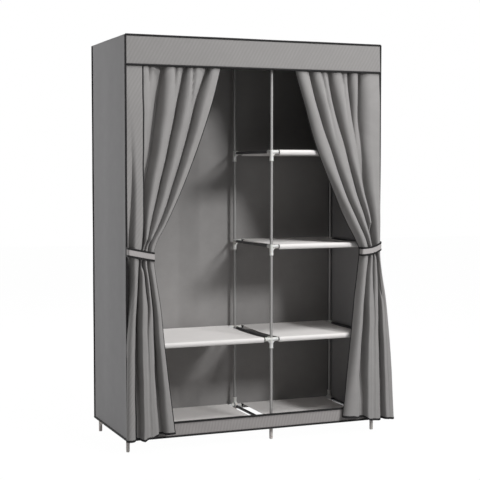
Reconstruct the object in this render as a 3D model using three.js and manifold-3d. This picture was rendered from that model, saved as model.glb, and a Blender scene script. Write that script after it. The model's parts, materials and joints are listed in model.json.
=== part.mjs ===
// A portable fabric wardrobe: a frame of thin steel tubes in moulded plastic connectors, six cloth
// shelves, a sewn cloth cover and two gathered curtains tied back at the front corners.
// Millimetres, +Z up, +X to the right seen from the front, +Y from the front to the back.
import * as THREE from "three";
import { mergeVertices } from "three/addons/utils/BufferGeometryUtils.js";
import Module from "manifold-3d";

const wasm = await Module();
wasm.setup();

// Overall sizes of the cover
const coverWidth = 1100;
const coverDepth = 476;
const coverTop = 1615;
const coverHem = 54.4;
const valanceDrop = 113.5;
const bandHeight = 55;
const clothThickness = 1.2;
const seamGap = 0.3; // between two pieces that are sewn or pushed together

// Frame: places of the posts and heights of the shelves
const sideInset = 13;
const frontInset = 38;
const rearInset = 39;
const centrePost = 73;
const floorLevel = 63;
const lowLevel = 411;
const middleLevel = 790;
const highLevel = 1173;

// Frame: tubes
const tubeRadius = 6;
const tubeWall = 0.6;

// Frame: moulded connectors
const socketClearance = 0.3;
const socketWall = 1.7;
const mouthFlare = 0.4; // a sleeve is this much thicker at its mouth
const armLength = 33; // from the post's axis to the mouth of a socket
const sleeveLength = 37; // from the tube's axis to the mouth of the sleeve round the post
const webThickness = 3.2; // the solid wall between a socket and the post's bore
const teeHalfLength = 18;
const gussetReach = 24; // from the post's axis along the arm, and along the sleeve
const gussetWidth = 7;

// Feet
const footRadius = 8;
const footTaper = 1;
const footChamfer = 5;
const footSole = 12;

// Curtain rod behind the valance and the eyes that hold it
const rodRadius = 2.5;
const rodDrop = 20; // below the top tubes' axis
const rodSetback = 15; // behind the cover's front face
const eyeWall = 2.2;
const eyeWidth = 10;

// Shelves
const tunnelClearance = 0.5;
const shelfMargin = 1; // between a shelf's edge and a connector's mouth

// Curtains: across the corner bays on the rod, gathered in the straps, spreading again below them
const headingWidth = 413; // from the corner seam to the inner edge, at the rod
const leftWaistWidth = 113; // the same in the strap
const rightWaistWidth = 95;
const tailWidth = 188; // the same at the hem
const leftFoldInset = 16; // from the corner seam to where the left curtain's folds begin
const rightFoldInset = 6; // the same on the right
const leftTailFlare = 9; // how far the left tail swings out past the side of the cover
const rightTailFlare = 50;
const waistForward = 25; // how far the crests of the folds stand before the cover in the strap
const tailForward = 46; // the same at the hem
const foldDepth = 50; // of the deepest valley
const foldSteps = 8;
const hemLift = 2;

// Tieback straps
const tieHeight = 775;
const strapHeight = 36;
const strapThickness = 2;
const strapSlope = 22; // how far the strap's inner end lies below its outer end
const strapCorner = 8; // radius of its two bends
const strapHook = 6; // how far its inner end runs back beside the gathered curtain
const strapStandoff = 1; // the strap's seam lies this far outside the side panel

// Facets of a full turn
const tubeSides = 10;
const footSides = 16;

// Colours and finishes
const cloth = new THREE.MeshStandardMaterial({ color: 0x989695, roughness: 0.95, side: THREE.DoubleSide });
const white = new THREE.MeshStandardMaterial({ color: 0xdedbd9, roughness: 0.9 });
const steel = new THREE.MeshStandardMaterial({ color: 0xa8abae, roughness: 0.35, metalness: 0.9 });
const plastic = new THREE.MeshStandardMaterial({ color: 0xdddbd6, roughness: 0.5 });
const footPlastic = new THREE.MeshStandardMaterial({ color: 0xb5aba4, roughness: 0.55 });

// Places worked out from the sizes above
const sleeveRadius = tubeRadius + socketClearance + socketWall;
const boreRadius = tubeRadius + socketClearance;
const mouthRadius = sleeveRadius + mouthFlare;
const socketStart = boreRadius + webThickness;
const topLevel = coverTop - clothThickness - seamGap - mouthRadius;
const halfWidth = coverWidth / 2;
const front = -coverDepth / 2;
const back = coverDepth / 2;
const frontLine = front + frontInset;
const rearLine = back - rearInset;
const columns = { left: -halfWidth + sideInset, centre: centrePost, right: halfWidth - sideInset };
const levels = { floor: floorLevel, low: lowLevel, middle: middleLevel, high: highLevel, top: topLevel };
const bays = { left: ["left", "centre"], right: ["centre", "right"] };
const baysOfLevel = {
  floor: ["left", "right"],
  low: ["left", "right"],
  middle: ["right"],
  high: ["right"],
  top: ["left", "right"],
};
const footTop = floorLevel - sleeveRadius - seamGap;
const rodLevel = topLevel - rodDrop;
const rodLine = front + rodSetback;

const wardrobe = new THREE.Group();

function add(name, geometry, material) {
  const mesh = new THREE.Mesh(geometry, material);
  mesh.name = name;
  wardrobe.add(mesh);
}

// Booleans
function solidOf(geometry) {
  const bare = geometry.clone();
  bare.deleteAttribute("normal");
  bare.deleteAttribute("uv");
  const merged = mergeVertices(bare);
  return new wasm.Manifold(
    new wasm.Mesh({
      numProp: 3,
      vertProperties: merged.attributes.position.array,
      triVerts: new Uint32Array(merged.index.array),
    }),
  );
}

function geometryOf(solid) {
  const { vertProperties, triVerts } = solid.getMesh();
  const geometry = new THREE.BufferGeometry();
  geometry.setAttribute("position", new THREE.BufferAttribute(new Float32Array(vertProperties), 3));
  geometry.setIndex(new THREE.BufferAttribute(new Uint32Array(triVerts), 1));
  geometry.computeVertexNormals();
  return geometry;
}

const join = (parts) => parts.map(solidOf).reduce((all, part) => all.add(part));
const cut = (solid, holes) => holes.map(solidOf).reduce((rest, hole) => rest.subtract(hole), solid);

// A round bar between two points; its radius may change from one end to the other.
function bar(from, to, radius, endRadius = radius) {
  const start = new THREE.Vector3(...from);
  const along = new THREE.Vector3(...to).sub(start);
  const geometry = new THREE.CylinderGeometry(endRadius, radius, along.length(), tubeSides);
  const turn = new THREE.Quaternion().setFromUnitVectors(
    new THREE.Vector3(0, 1, 0),
    along.clone().normalize(),
  );
  const middle = start.addScaledVector(along, 1 / 2);
  return geometry.applyMatrix4(new THREE.Matrix4().compose(middle, turn, new THREE.Vector3(1, 1, 1)));
}

// A length of steel tube between two points, open at both ends.
function tube(from, to) {
  const start = new THREE.Vector3(...from);
  const along = new THREE.Vector3(...to).sub(start);
  const bore = tubeRadius - tubeWall;
  const profile = [
    [bore, 0],
    [tubeRadius, 0],
    [tubeRadius, along.length()],
    [bore, along.length()],
    [bore, 0],
  ].map(([r, h]) => new THREE.Vector2(r, h));
  const turn = new THREE.Quaternion().setFromUnitVectors(
    new THREE.Vector3(0, 1, 0),
    along.clone().normalize(),
  );
  const geometry = new THREE.LatheGeometry(profile, tubeSides);
  geometry.applyMatrix4(new THREE.Matrix4().compose(start, turn, new THREE.Vector3(1, 1, 1)));
  return geometryOf(solidOf(geometry));
}

// A box between two corners.
function box(low, high) {
  const size = high.map((value, axis) => value - low[axis]);
  const middle = high.map((value, axis) => (value + low[axis]) / 2);
  return new THREE.BoxGeometry(...size).translate(...middle);
}

// Posts: each runs from the inside of its foot up into the closed sleeve of the top frame.
for (const [side, x] of Object.entries(columns)) {
  for (const [row, y] of [["front", frontLine], ["rear", rearLine]]) {
    const bottom = [x, y, footSole + seamGap];
    const top = [x, y, topLevel - socketStart];
    add(`post_${row}_${side}`, tube(bottom, top), steel);
  }
}

// Feet: tapered plastic cups pushed on to the posts' lower ends.
for (const [side, x] of Object.entries(columns)) {
  for (const [row, y] of [["front", frontLine], ["rear", rearLine]]) {
    const profile = [
      [0, 0],
      [footRadius - footTaper - footTaper, 0],
      [footRadius - footTaper, footChamfer],
      [footRadius, footTop],
      [boreRadius, footTop],
      [boreRadius, footSole],
      [0, footSole],
    ].map(([r, h]) => new THREE.Vector2(r, h));
    const cup = new THREE.LatheGeometry(profile, footSides);
    cup.rotateX(Math.PI / 2).translate(x, y, 0);
    add(`foot_${row}_${side}`, geometryOf(solidOf(cup)), footPlastic);
  }
}

// A gusset stiffens the angle between a connector's sleeve and one of its arms.
function gusset(x, y, z, way, rise) {
  const outline = new THREE.Shape();
  outline.moveTo(0, 0);
  outline.lineTo(way * gussetReach, 0);
  outline.lineTo(0, rise * gussetReach);
  const plate = new THREE.ExtrudeGeometry(outline, { depth: gussetWidth, bevelEnabled: false });
  return plate.rotateX(Math.PI / 2).translate(x, y + gussetWidth / 2, z);
}

// A multi-way connector: a sleeve round the post, and a tapered arm with a blind socket for each cross
// tube. The sleeve points up at the floor frame, is closed on top at the top frame, and hangs elsewhere.
function connector(x, y, level, sides) {
  const z = levels[level];
  const low = z - (level === "floor" ? sleeveRadius : sleeveLength);
  const high = z + (level === "floor" ? sleeveLength : sleeveRadius);
  const crown = level === "top" ? topLevel + mouthRadius : high;
  const post = level === "top" ? z - socketStart + seamGap : high + seamGap;
  const lowRadius = level === "floor" ? sleeveRadius : mouthRadius;
  const solids = [bar([x, y, low], [x, y, crown], lowRadius, sleeveRadius)];
  const holes = [bar([x, y, low - seamGap], [x, y, post], boreRadius)];
  for (const way of sides) {
    const hub = x + way * (boreRadius - seamGap);
    const mouth = x + way * armLength;
    solids.push(bar([hub, y, z], [mouth, y, z], sleeveRadius, mouthRadius));
    solids.push(gusset(x, y, z, way, level === "floor" ? 1 : -1));
    holes.push(bar([x + way * socketStart, y, z], [mouth + way * seamGap, y, z], boreRadius));
  }
  const inward = y < 0 ? 1 : -1;
  solids.push(bar([x, y, z], [x, y + inward * armLength, z], sleeveRadius, mouthRadius));
  return { solids, holes };
}

// The eye for the curtain rod stands in front of a corner connector of the top frame.
function rodEye(x) {
  const reach = rodRadius + socketClearance + eyeWall;
  const half = eyeWidth / 2;
  return {
    solids: [
      bar([x - half, rodLine, rodLevel], [x + half, rodLine, rodLevel], reach),
      box([x - half, rodLine, rodLevel - eyeWall], [x + half, frontLine - boreRadius, rodLevel + eyeWall]),
    ],
    holes: [
      bar([x - eyeWidth, rodLine, rodLevel], [x + eyeWidth, rodLine, rodLevel], rodRadius + socketClearance),
    ],
  };
}

// A tee at the middle of a front-to-back tube holds one end of the hanging rail.
function railTee(x, way) {
  const y = (frontLine + rearLine) / 2;
  return {
    solids: [
      bar([x, y - teeHalfLength, topLevel], [x, y + teeHalfLength, topLevel], mouthRadius),
      bar([x, y, topLevel], [x + way * armLength, y, topLevel], sleeveRadius, mouthRadius),
    ],
    holes: [
      bar([x + way * socketStart, y, topLevel], [x + way * (armLength + seamGap), y, topLevel], boreRadius),
    ],
  };
}

// Rungs: a front-to-back tube with the connector at each end.
for (const [level, levelBays] of Object.entries(baysOfLevel)) {
  for (const [side, x] of Object.entries(columns)) {
    const sides = [];
    if (levelBays.some((bay) => bays[bay][1] === side)) sides.push(-1);
    if (levelBays.some((bay) => bays[bay][0] === side)) sides.push(1);
    if (sides.length === 0) continue;
    const pieces = [connector(x, frontLine, level, sides), connector(x, rearLine, level, sides)];
    if (level === "top" && side !== "centre") pieces.push(rodEye(x));
    if (level === "top" && side === "left") pieces.push(railTee(x, 1));
    if (level === "top" && side === "centre") pieces.push(railTee(x, -1));
    const tubeBar = bar(
      [x, frontLine + armLength / 2, levels[level]],
      [x, rearLine - armLength / 2, levels[level]],
      tubeRadius,
    );
    const body = join([tubeBar, ...pieces.flatMap((piece) => piece.solids)]);
    const holes = pieces.flatMap((piece) => piece.holes);
    add(`rung_${level}_${side}`, geometryOf(cut(body, holes)), plastic);
  }
}

// Cross tubes along the front and the back of each bay, pushed into the sockets.
const tubeInset = socketStart + socketClearance;
for (const [level, levelBays] of Object.entries(baysOfLevel)) {
  for (const bay of levelBays) {
    const [from, to] = bays[bay].map((side) => columns[side]);
    for (const [row, y] of [["front", frontLine], ["rear", rearLine]]) {
      const z = levels[level];
      add(`tube_${level}_${row}_${bay}`, tube([from + tubeInset, y, z], [to - tubeInset, y, z]), steel);
    }
  }
}
const railLine = (frontLine + rearLine) / 2;
add(
  "hanging_rail",
  tube([columns.left + tubeInset, railLine, topLevel], [columns.centre - tubeInset, railLine, topLevel]),
  steel,
);

// The curtain rod runs behind the valance from eye to eye.
const rodEnd = halfWidth - clothThickness - seamGap;
const rod = bar([-rodEnd, rodLine, rodLevel], [rodEnd, rodLine, rodLevel], rodRadius);
add("curtain_rod", geometryOf(solidOf(rod)), steel);

// Cloth shelves: a flat panel with a tunnel round the front and the rear cross tube.
function shelf(from, to, level) {
  const inner = tubeRadius + tunnelClearance;
  const outer = inner + clothThickness;
  const meet = Math.asin(inner / outer);
  const profile = new THREE.Shape();
  profile.moveTo(frontLine, outer);
  profile.lineTo(rearLine, outer);
  profile.absarc(rearLine, 0, outer, Math.PI / 2, -Math.PI - meet, true);
  profile.absarc(frontLine, 0, outer, meet, (-3 / 2) * Math.PI, true);
  for (const y of [frontLine, rearLine]) {
    const tunnel = new THREE.Path();
    tunnel.absarc(y, 0, inner, 0, 2 * Math.PI, false);
    profile.holes.push(tunnel);
  }
  const panel = new THREE.ExtrudeGeometry(profile, {
    depth: to - from,
    bevelEnabled: false,
    curveSegments: tubeSides / 2,
  });
  const turn = new THREE.Matrix4().makeBasis(
    new THREE.Vector3(0, 1, 0),
    new THREE.Vector3(0, 0, 1),
    new THREE.Vector3(1, 0, 0),
  );
  panel.applyMatrix4(turn).translate(from, 0, levels[level]);
  return geometryOf(solidOf(panel));
}

for (const [level, levelBays] of Object.entries(baysOfLevel)) {
  if (level === "top") continue;
  for (const bay of levelBays) {
    const [from, to] = bays[bay].map((side) => columns[side]);
    const edge = armLength + shelfMargin;
    add(`shelf_${level}_${bay}`, shelf(from + edge, to - edge, level), white);
  }
}

// Cover: six flat cloth panels that meet at their seams.
const wall = clothThickness;
const skirt = wall + seamGap;
const panels = {
  cover_top: [[-halfWidth, front, coverTop - wall], [halfWidth, back, coverTop]],
  cover_back: [[-halfWidth, back - wall, coverHem], [halfWidth, back, coverTop - skirt]],
  cover_left: [[-halfWidth, front, coverHem], [-halfWidth + wall, back - skirt, coverTop - skirt]],
  cover_right: [[halfWidth - wall, front, coverHem], [halfWidth, back - skirt, coverTop - skirt]],
  cover_valance: [
    [-halfWidth + skirt, front, coverTop - valanceDrop],
    [halfWidth - skirt, front + wall, coverTop - skirt],
  ],
  cover_bottom_band: [
    [-halfWidth + skirt, front, coverHem],
    [halfWidth - skirt, front + wall, coverHem + bandHeight],
  ],
};
for (const [name, [low, high]] of Object.entries(panels)) add(name, box(low, high), cloth);

// Curtains. Each is sewn to the cover at its corner and hangs in rolls that meet in valleys. Its rows run
// from the heading to the strap, then from the strap to the hem. height is a share of each of those two
// drops, forward tells how far the crests have come from the rod to the strap or from the strap to the
// hem, and depth is the valleys' share of foldDepth.
const rowsAbove = 7;
const rowShares = {
  height: [1, 0.895, 0.74, 0.48, 0.265, 0.11, 0, 0, 0.24, 0.44, 0.75, 1],
  forward: [-0.12, -0.12, 0.08, 0.2, 0.56, 0.88, 1, 0, 0.19, 0.38, 0.76, 1],
  depth: [0.18, 0.54, 0.64, 0.62, 0.8, 0.76, 0.6, 0.6, 0.9, 1, 0.9, 0.8],
};

// For each row: how far the curtain has opened from its waist to its full width, how far its outer turn
// has swung to the tail's flare, each valley's place as a share of the width, and its depth as a share
// of the row's. The outer turn and the inner edge have depths too, and end the first and last rolls.
const curtainShares = {
  left: {
    open: [1, 0.94, 0.84, 0.61, 0.36, 0.15, 0, 0, 0.23, 0.47, 0.78, 1],
    flare: [0, 0, 0, 0, 0, 0, 0, 0, 0.48, 0.84, 0.96, 1],
    places: [
      [0.17, 0.18, 0.19, 0.23, 0.3, 0.41, 0.48, 0.46, 0.35, 0.29, 0.27, 0.28],
      [0.38, 0.4, 0.41, 0.42, 0.44, 0.5, 0.54, 0.52, 0.4, 0.33, 0.29, 0.3],
      [0.65, 0.65, 0.64, 0.63, 0.65, 0.69, 0.71, 0.67, 0.61, 0.55, 0.52, 0.52],
      [0.86, 0.87, 0.87, 0.87, 0.87, 0.89, 0.87, 0.82, 0.82, 0.8, 0.78, 0.81],
    ],
    depths: [
      [0, 0, 0, 0.1, 0.4, 0.6, 0.7, 0.7, 0.6, 0.4, 0.5, 0.58],
      [0, 0, 0, 0.05, 0.2, 0.4, 0.6, 0.6, 0.8, 0.9, 1, 1],
      [1, 1, 1, 1, 1, 1, 1, 1, 1, 1, 1, 1],
      [1, 1, 1, 1, 1, 1, 1, 1, 0.5, 0.15, 0.03, 0],
      [1, 1, 1, 1, 1, 1, 1, 1, 1, 1, 1, 1],
      [0.4, 0.4, 0.4, 0.4, 0.45, 0.5, 0.6, 0.6, 0.45, 0.45, 0.45, 0.45],
    ],
  },
  right: {
    open: [0.99, 0.9, 0.78, 0.575, 0.34, 0.16, 0, 0, 0.14, 0.3, 0.65, 0.9],
    flare: [0, 0, 0, 0, 0, 0, 0, 0, 0.41, 0.68, 0.93, 1],
    places: [
      [0.13, 0.14, 0.13, 0.14, 0.16, 0.18, 0.19, 0.19, 0, -0.05, -0.09, -0.17],
      [0.27, 0.23, 0.2, 0.22, 0.22, 0.22, 0.25, 0.29, 0.24, 0.31, 0.29, 0.21],
      [0.58, 0.58, 0.57, 0.51, 0.45, 0.41, 0.43, 0.47, 0.43, 0.45, 0.37, 0.37],
      [0.83, 0.81, 0.8, 0.76, 0.7, 0.63, 0.65, 0.78, 0.83, 0.9, 0.83, 0.79],
    ],
    depths: [
      [0, 0, 0, 0, 0.05, 0.1, 0.2, 0.2, 0.2, 0.2, 0.2, 0.2],
      [0, 0, 0, 0, 0.05, 0.1, 0.2, 0.3, 0.58, 0.6, 0.78, 0.85],
      [1, 1, 1, 1, 1, 1, 1, 0.9, 0.3, 0.05, 0, 0],
      [1, 1, 1, 1, 1, 1, 1, 1, 1, 1, 1, 1],
      [1, 1, 1, 1, 1, 1, 1, 0.9, 0.35, 0.05, 0, 0],
      [0.85, 0.85, 0.85, 0.85, 0.9, 1, 1, 1, 0.85, 0.85, 0.85, 0.85],
    ],
  },
};
const curtainSizes = {
  left: { waist: leftWaistWidth, foldInset: leftFoldInset, tailFlare: leftTailFlare },
  right: { waist: rightWaistWidth, foldInset: rightFoldInset, tailFlare: rightTailFlare },
};
const mix = (from, to, share) => from + (to - from) * share;

// One row in plan, as points from the corner seam to the inner edge: how far in from the seam, and how
// far before the cover. A narrow roll can't stand higher than its two thicknesses of cloth let it.
function curtainRow(side, row) {
  const shares = curtainShares[side];
  const sizes = curtainSizes[side];
  const above = row < rowsAbove;
  const width = mix(sizes.waist, above ? headingWidth : tailWidth, shares.open[row]);
  const reached = rowShares.forward[row];
  const crest = above ? reached * waistForward : mix(waistForward, tailForward, reached);
  const depth = rowShares.depth[row] * foldDepth;
  const turn = mix(sizes.foldInset, -sizes.tailFlare, shares.flare[row]);
  const ends = [turn, ...shares.places.map((place) => place[row] * width), width];
  const depths = shares.depths.map((list) => list[row] * depth);
  const seamForward = crest < 0 ? -skirt - clothThickness / 2 : seamGap + clothThickness / 2;
  const points = [[skirt + clothThickness / 2, seamForward]];
  for (let roll = 0; roll + 1 < ends.length; roll++) {
    const breadth = ends[roll + 1] - ends[roll];
    const highest = breadth ** 2 / (Math.PI ** 2 * clothThickness);
    for (let step = 0; step < foldSteps; step++) {
      const share = step / foldSteps;
      const sunk = mix(depths[roll], depths[roll + 1], share);
      const rise = Math.min(sunk, highest) * Math.sin(Math.PI * share);
      points.push([ends[roll] + breadth * share, crest - sunk + rise]);
    }
  }
  points.push([width, crest - depths.at(-1)]);
  return points;
}

// The two faces of a row, half the cloth's thickness to each side of it.
function facesOf(points) {
  return points.map((point, index) => {
    const before = points[Math.max(index - 1, 0)];
    const after = points[Math.min(index + 1, points.length - 1)];
    const run = new THREE.Vector2(after[0] - before[0], after[1] - before[1]).normalize();
    const half = clothThickness / 2;
    return [
      [point[0] - run.y * half, point[1] + run.x * half],
      [point[0] + run.y * half, point[1] - run.x * half],
    ];
  });
}

function curtain(side) {
  const heading = rodLevel - rodRadius - seamGap;
  const waistTop = tieHeight + (strapHeight + strapSlope) / 2;
  const waistBottom = tieHeight - (strapHeight + strapSlope) / 2;
  const hem = coverHem + hemLift;
  const hand = side === "left" ? -1 : 1;
  const rows = rowShares.height.map((share, row) => {
    const z = row < rowsAbove ? mix(waistTop, heading, share) : mix(waistBottom, hem, share);
    const plan = curtainRow(side, row).map(([inset, forward]) => [halfWidth - inset, front - forward]);
    return facesOf(plan).map((pair) => pair.map(([x, y]) => [hand * x, y, z]));
  });
  const count = rows[0].length;
  const positions = rows.flat(3);
  const at = (row, column, face) => (row * count + column) * 2 + face;
  const index = [];
  const quad = (a, b, c, d) => index.push(a, b, c, a, c, d);
  for (let row = 0; row + 1 < rows.length; row++) {
    for (let column = 0; column + 1 < count; column++) {
      quad(at(row, column, 0), at(row, column + 1, 0), at(row + 1, column + 1, 0), at(row + 1, column, 0));
      quad(at(row, column, 1), at(row + 1, column, 1), at(row + 1, column + 1, 1), at(row, column + 1, 1));
    }
    quad(at(row, 0, 0), at(row + 1, 0, 0), at(row + 1, 0, 1), at(row, 0, 1));
    const end = count - 1;
    quad(at(row, end, 0), at(row, end, 1), at(row + 1, end, 1), at(row + 1, end, 0));
  }
  for (let column = 0; column + 1 < count; column++) {
    const last = rows.length - 1;
    quad(at(0, column, 0), at(0, column, 1), at(0, column + 1, 1), at(0, column + 1, 0));
    quad(at(last, column, 0), at(last, column + 1, 0), at(last, column + 1, 1), at(last, column, 1));
  }
  if (hand < 0) index.reverse();
  const geometry = new THREE.BufferGeometry();
  geometry.setAttribute("position", new THREE.BufferAttribute(new Float32Array(positions), 3));
  geometry.setIndex(index);
  return geometryOf(solidOf(geometry));
}

for (const side of ["left", "right"]) add(`curtain_${side}`, curtain(side), cloth);

// Tiebacks: a strap from the corner seam round the front of the gathered curtain, in plan, with its
// inner end lower than its outer end.
function tieback(side) {
  const clear = clothThickness / 2 + seamGap;
  const seam = halfWidth + strapStandoff;
  const inside = halfWidth - curtainSizes[side].waist - clear - strapThickness;
  const start = front - seamGap;
  const crest = front - waistForward - clear - strapThickness;
  const run = (offset) => {
    const path = new THREE.Path();
    const corner = strapCorner - offset;
    path.moveTo(seam - offset, start);
    path.lineTo(seam - offset, crest + strapCorner);
    path.absarc(seam - strapCorner, crest + strapCorner, corner, 0, -Math.PI / 2, true);
    path.absarc(inside + strapCorner, crest + strapCorner, corner, -Math.PI / 2, -Math.PI, true);
    path.lineTo(inside + offset, start + strapHook);
    return path.getPoints(tubeSides / 2);
  };
  const outline = new THREE.Shape([...run(0), ...run(strapThickness).reverse()]);
  const strap = new THREE.ExtrudeGeometry(outline, { depth: strapHeight, bevelEnabled: false });
  const slope = strapSlope / (seam - inside);
  const lean = new THREE.Matrix4().set(1, 0, 0, 0, 0, 1, 0, 0, slope, 0, 1, 0, 0, 0, 0, 1);
  strap.translate(0, 0, tieHeight - strapHeight / 2 - (slope * (inside + seam)) / 2);
  strap.applyMatrix4(lean);
  const solid = solidOf(strap);
  return geometryOf(side === "right" ? solid : solid.mirror([1, 0, 0]));
}

for (const side of ["left", "right"]) add(`tieback_${side}`, tieback(side), cloth);

// The origin is on the floor under the middle of the whole, curtains and straps included.
wardrobe.position.set(-(rightTailFlare - leftTailFlare) / 2, tailForward / 2, 0);

export default wardrobe;
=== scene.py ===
# A portable fabric wardrobe: steel tubes in moulded connectors, cloth shelves, a sewn grey cover and
# two curtains tied back at the front corners. The sections follow the order in which it is put together.
import json

import bmesh
import bpy
import numpy as np
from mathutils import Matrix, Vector

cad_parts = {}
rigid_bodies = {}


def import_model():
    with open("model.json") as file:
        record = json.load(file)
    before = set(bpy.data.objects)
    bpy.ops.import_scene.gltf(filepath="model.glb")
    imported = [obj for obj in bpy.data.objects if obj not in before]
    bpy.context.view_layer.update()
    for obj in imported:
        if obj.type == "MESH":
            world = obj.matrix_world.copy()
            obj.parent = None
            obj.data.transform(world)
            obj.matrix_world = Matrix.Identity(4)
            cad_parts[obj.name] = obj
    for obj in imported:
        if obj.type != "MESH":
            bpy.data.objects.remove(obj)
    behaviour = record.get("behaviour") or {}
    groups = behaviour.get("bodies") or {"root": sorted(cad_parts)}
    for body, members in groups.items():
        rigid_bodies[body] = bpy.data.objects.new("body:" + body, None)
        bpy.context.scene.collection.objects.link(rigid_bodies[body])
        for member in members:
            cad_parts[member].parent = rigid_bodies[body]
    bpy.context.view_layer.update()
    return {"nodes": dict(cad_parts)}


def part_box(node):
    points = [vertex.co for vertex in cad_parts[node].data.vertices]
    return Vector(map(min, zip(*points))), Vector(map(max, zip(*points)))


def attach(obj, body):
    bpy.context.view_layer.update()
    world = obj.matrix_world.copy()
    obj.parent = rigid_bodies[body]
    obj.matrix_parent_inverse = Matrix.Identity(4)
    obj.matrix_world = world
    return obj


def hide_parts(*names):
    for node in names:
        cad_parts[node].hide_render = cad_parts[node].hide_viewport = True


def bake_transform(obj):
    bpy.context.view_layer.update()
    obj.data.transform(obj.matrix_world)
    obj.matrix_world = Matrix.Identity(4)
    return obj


for leftover in list(bpy.data.objects):
    bpy.data.objects.remove(leftover)
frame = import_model()

# Feet
# Six cups of beige-grey polypropylene, injection moulded with a little draft and pushed on to the lower
# ends of the posts. Each has a rounded sole and a rolled lip where the post goes in.
mm = 0.001
sides = ("left", "centre", "right")
rows = ("front", "rear")
foot_lip = 0.7 * mm
foot_bore = 6.3 * mm
foot_sole = 12 * mm
foot_turn = 48  # facets of a moulded round


def linear(hex_colour):
    """An sRGB hex colour as linear red, green, blue and alpha."""
    shares = [int(hex_colour[start:start + 2], 16) / 255 for start in (1, 3, 5)]
    return [s / 12.92 if s <= 0.04045 else ((s + 0.055) / 1.055) ** 2.4 for s in shares] + [1]


def add_node(tree, kind, inputs=None, **settings):
    """Adds a node with its settings. An input is a value, or another node's socket to link."""
    made = tree.nodes.new(kind)
    for name, value in settings.items():
        setattr(made, name, value)
    for key, value in (inputs or {}).items():
        if isinstance(value, bpy.types.NodeSocket):
            tree.links.new(value, made.inputs[key])
        else:
            made.inputs[key].default_value = value
    return made


def emptied_tree(owner):
    """The node tree of a material or a world, emptied."""
    owner.use_nodes = True
    owner.node_tree.nodes.clear()
    return owner.node_tree


def new_material(name, **shader_inputs):
    """A material with one Principled shader; its inputs are named with underscores for spaces."""
    material = bpy.data.materials.new(name)
    tree = emptied_tree(material)
    values = {key.replace("_", " "): value for key, value in shader_inputs.items()}
    shader = add_node(tree, "ShaderNodeBsdfPrincipled", values)
    add_node(tree, "ShaderNodeOutputMaterial", {"Surface": shader.outputs["BSDF"]})
    return material, tree, shader


def moulded_plastic(name, shade, worn_shade, roughness):
    """Moulded polypropylene: a soft, slightly waxy gloss, a faint spark-eroded grain and dusty patches."""
    material, tree, shader = new_material(name, Roughness=roughness, IOR=1.49, Subsurface_Weight=0.05)
    place = add_node(tree, "ShaderNodeTexCoord").outputs["Object"]
    patch_size, grain_size = 40 * mm, 0.9 * mm
    patches = add_node(tree, "ShaderNodeTexNoise", {"Vector": place, "Scale": 1 / patch_size, "Detail": 3})
    grain = add_node(tree, "ShaderNodeTexNoise", {"Vector": place, "Scale": 1 / grain_size, "Detail": 2})
    surfaced(tree, shader, patches.outputs["Fac"], shade, worn_shade, grain.outputs["Fac"], 0.12, 0.1 * mm)
    return material


def linked(name, data):
    """A new object in the scene for a mesh, a lamp or a camera."""
    made = bpy.data.objects.new(name, data)
    bpy.context.scene.collection.objects.link(made)
    return made


def surfaced(tree, shader, mask, shade, other_shade, relief, strength, depth):
    """Colours a finish between two shades as a mask has it, and raises a relief on it by a depth."""
    tone = add_node(
        tree, "ShaderNodeMix", {0: mask, 6: linear(shade), 7: linear(other_shade)}, data_type="RGBA"
    )
    tree.links.new(tone.outputs[2], shader.inputs["Base Color"])
    bump = add_node(tree, "ShaderNodeBump", {"Height": relief, "Strength": strength, "Distance": depth})
    tree.links.new(bump.outputs["Normal"], shader.inputs["Normal"])


def solid(name, points, faces, material):
    """A closed mesh with its faces pointing out, smooth but for its sharp edges."""
    mesh = bpy.data.meshes.new(name)
    mesh.from_pydata([tuple(map(float, point)) for point in points], [], faces)
    shape = bmesh.new()
    shape.from_mesh(mesh)
    bmesh.ops.recalc_face_normals(shape, faces=shape.faces)
    if shape.calc_volume(signed=True) < 0:
        bmesh.ops.reverse_faces(shape, faces=shape.faces)
    shape.to_mesh(mesh)
    shape.free()
    mesh.materials.append(material)
    mesh.shade_smooth()
    mesh.set_sharp_from_angle(angle=np.radians(40))
    return linked(name, mesh)


def turned(profile, start, axis, turn=foot_turn):
    """Points and faces of a profile of (radius, distance) turned round an axis. It may close on itself."""
    axis = Vector(axis).normalized()
    across = axis.orthogonal().normalized()
    up = axis.cross(across)
    closed = profile[0] == profile[-1]
    ring_profile = profile[:-1] if closed else profile
    points, rings = [], []
    for radius, distance in ring_profile:
        centre = Vector(start) + axis * distance
        if radius == 0:
            rings.append([len(points)] * turn)
            points.append(centre)
            continue
        rings.append(list(range(len(points), len(points) + turn)))
        for step in range(turn):
            angle = 2 * np.pi * step / turn
            points.append(centre + (across * np.cos(angle) + up * np.sin(angle)) * radius)
    faces = []
    pairs = list(zip(rings, rings[1:])) + ([(rings[-1], rings[0])] if closed else [])
    for first, second in pairs:
        for step in range(turn):
            after = (step + 1) % turn
            corners = [first[step], first[after], second[after], second[step]]
            faces.append([c for i, c in enumerate(corners) if c not in corners[:i]])
    return points, faces


def placed(piece, body, slot, *nodes):
    """Lets a piece ride on a body and stand for CAD nodes. The slot is not used."""
    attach(piece, body)
    if nodes:
        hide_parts(*nodes)
    return piece


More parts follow.
